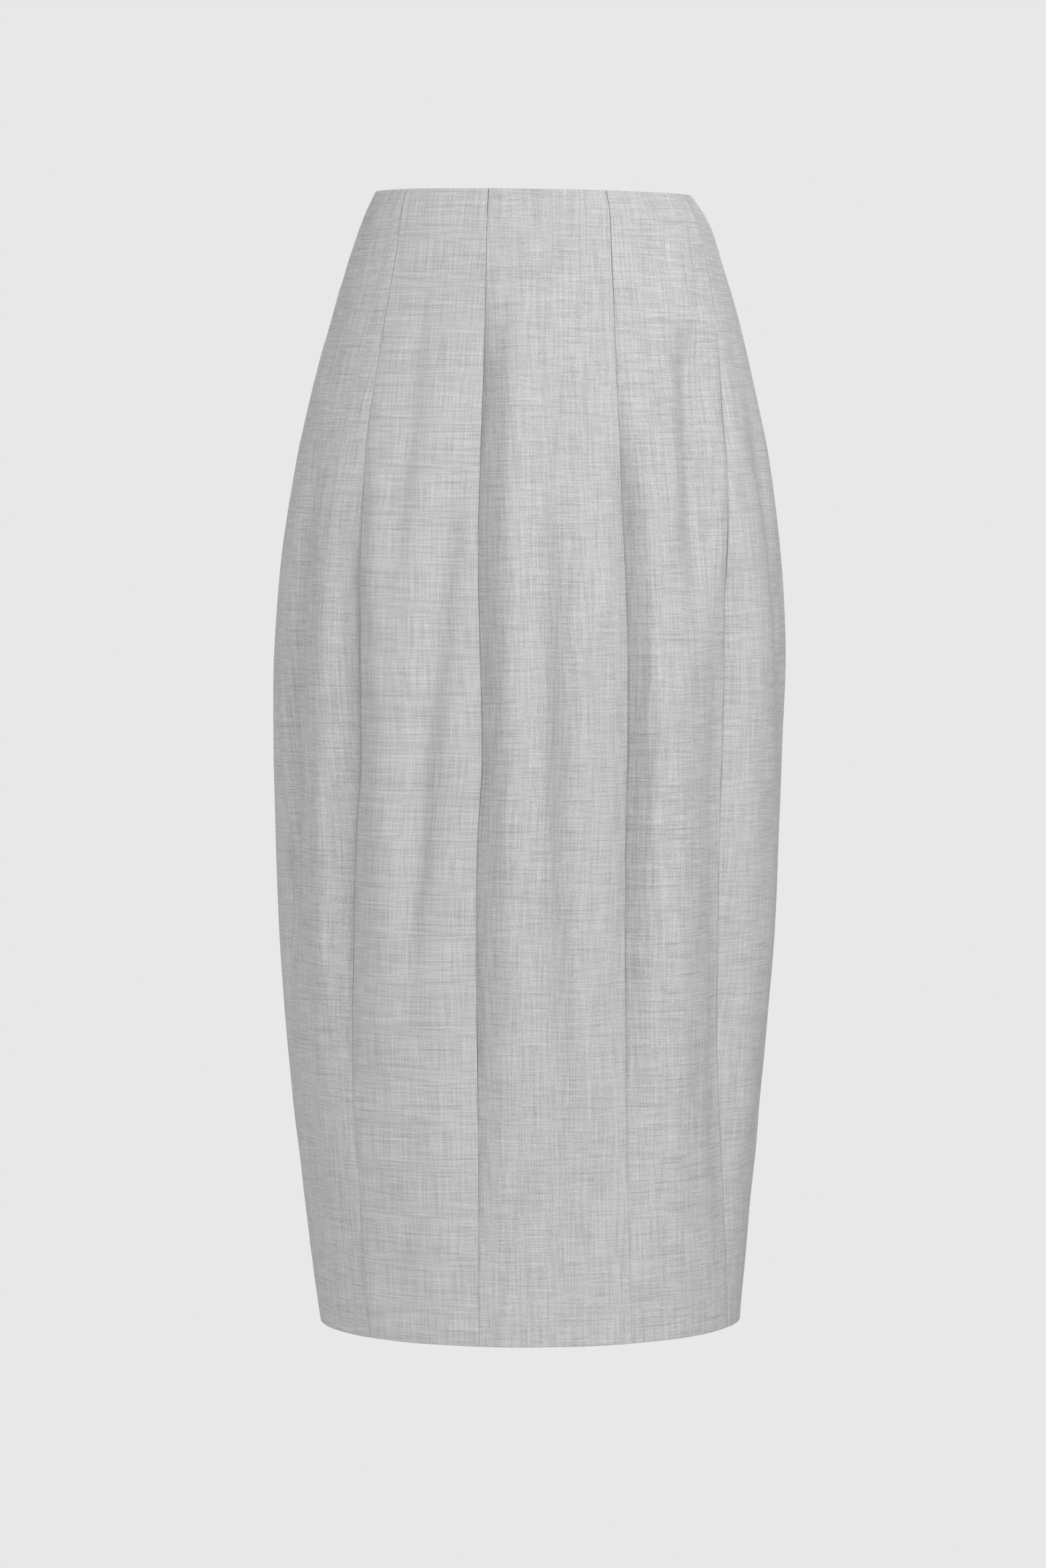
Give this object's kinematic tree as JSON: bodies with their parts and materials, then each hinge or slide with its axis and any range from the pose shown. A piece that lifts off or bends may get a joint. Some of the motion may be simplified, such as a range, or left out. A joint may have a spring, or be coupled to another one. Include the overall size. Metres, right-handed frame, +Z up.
{
  "type": "pencil skirt",
  "caption": "High-waisted midi pencil skirt, panelled, bowed over the hips and drawn in at the hem, filled out as worn, with a concealed back zip.",
  "frame": {"origin": "centre of the waist opening, level with the waist edge at centre back, where the wearer's waist holds the skirt", "axes": "+Z up, +X to the wearer's left, -Y to the front"},
  "size_m": [0.3853, 0.2924, 0.848],
  "materials": {
    "wool": "pale grey melange plain weave with slubs",
    "zip_tape": "knitted tape",
    "zip_coil": "satin",
    "zip_metal": "satin lacquer"
  },
  "bodies": {
    "skirt": {"front_centre": "wool", "front_mid_left": "wool", "front_mid_right": "wool", "front_side_left": "wool", "front_side_right": "wool", "back_side_left": "wool", "back_side_right": "wool", "back_mid_left": "wool", "back_mid_right": "wool", "back_centre_left": "wool", "back_centre_right": "wool", "zip_tape_left": "zip_tape", "zip_tape_right": "zip_tape", "zip_coil": "zip_coil", "zip_slider": "zip_metal"},
    "pull_tab": {"zip_pull": "zip_metal"}
  },
  "joints": [
    {"name": "pull_tab_hinge", "type": "hinge", "parent": "skirt", "child": "pull_tab", "pos_m": [0, 0.09503, -0.00974], "axis": [1, 0, 0], "range_deg": [0, 150]}
  ]
}
